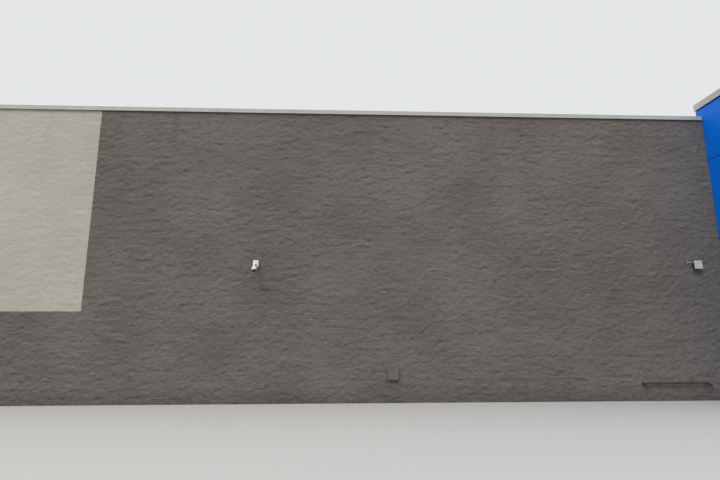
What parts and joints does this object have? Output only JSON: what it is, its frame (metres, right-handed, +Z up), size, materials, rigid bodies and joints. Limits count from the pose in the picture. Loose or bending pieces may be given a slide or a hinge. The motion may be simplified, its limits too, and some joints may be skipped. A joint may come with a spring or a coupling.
{
  "type": "supermarket building",
  "caption": "Hollow single-storey block-walled shop hall with a parapet coping, a flat roof on steel joists and a taller blue entrance portal at one end of the front.",
  "frame": {"origin": "on the ground at the middle of the whole outline", "axes": "+X along the front to the right as seen from outside it, +Y from the front into the building, +Z up"},
  "size_m": [39.156, 29.273, 8.893],
  "materials": {
    "painted_block_grey": "warm grey masonry paint on split-face block",
    "painted_block_light": "off-white masonry paint on split-face block",
    "portal_blue": "smooth blue cladding panels, satin",
    "coping_light": "off-white coated sheet metal",
    "concrete": "trowelled concrete",
    "roof_membrane": "weathered pale roofing membrane",
    "soffit_white": "white coated soffit panels",
    "primed_steel": "grey primed steel",
    "anodised_aluminium": "clear anodised",
    "glazing": "clear double glazing",
    "galvanised_steel": "galvanised sheet, weathered",
    "white_plastic": "weathered white housing",
    "grey_cover": "weathered light grey cover",
    "dark_window": "dark smoked dome",
    "charcoal_casting": "charcoal powder-coated casting",
    "light_diffuser": "greyed prismatic diffuser",
    "conduit_metal": "light grey conduit",
    "grey_painted_metal": "painted over in the wall's grey",
    "dark_painted_steel": "steel bar and plates in dark grey paint"
  },
  "bodies": {
    "root": {"front_wall_base": "painted_block_grey", "front_wall_grey": "painted_block_grey", "left_wall_base": "painted_block_grey", "right_wall_base": "painted_block_grey", "back_wall_base_left": "painted_block_grey", "back_wall_base_right": "painted_block_grey", "entrance_wall_left": "painted_block_grey", "entrance_wall_right": "painted_block_grey", "front_wall_light": "painted_block_light", "left_wall_light": "painted_block_light", "right_wall_light": "painted_block_light", "back_wall_light": "painted_block_light", "portal_wall_left": "portal_blue", "portal_wall_right": "portal_blue", "portal_fascia": "portal_blue", "entrance_wall_over": "portal_blue", "coping_front": "coping_light", "coping_right": "coping_light", "coping_back": "coping_light", "coping_left": "coping_light", "portal_coping_front": "coping_light", "portal_coping_right": "coping_light", "portal_coping_back": "coping_light", "portal_coping_left": "coping_light", "floor_slab": "concrete", "entrance_floor": "concrete", "roof_deck": "roof_membrane", "portal_roof": "roof_membrane", "portal_soffit": "soffit_white", "roof_joists_front": "primed_steel", "roof_joists_back": "primed_steel", "roof_girder": "primed_steel", "roof_columns": "primed_steel", "roof_ledgers": "primed_steel", "entrance_frame": "anodised_aluminium", "sliding_doors": "anodised_aluminium", "door_header": "anodised_aluminium", "entrance_glass": "glazing", "goods_shutter": "galvanised_steel", "goods_shutter_frame": "galvanised_steel", "downspouts": "galvanised_steel", "camera_box": "white_plastic", "camera_housing": "white_plastic", "wall_light_cover": "grey_cover", "camera_dome": "dark_window", "wall_light_housing": "charcoal_casting", "wall_light_diffuser": "light_diffuser", "wall_light_conduit": "conduit_metal", "wall_hatch": "grey_painted_metal", "wall_rail": "dark_painted_steel"}
  },
  "joints": []
}
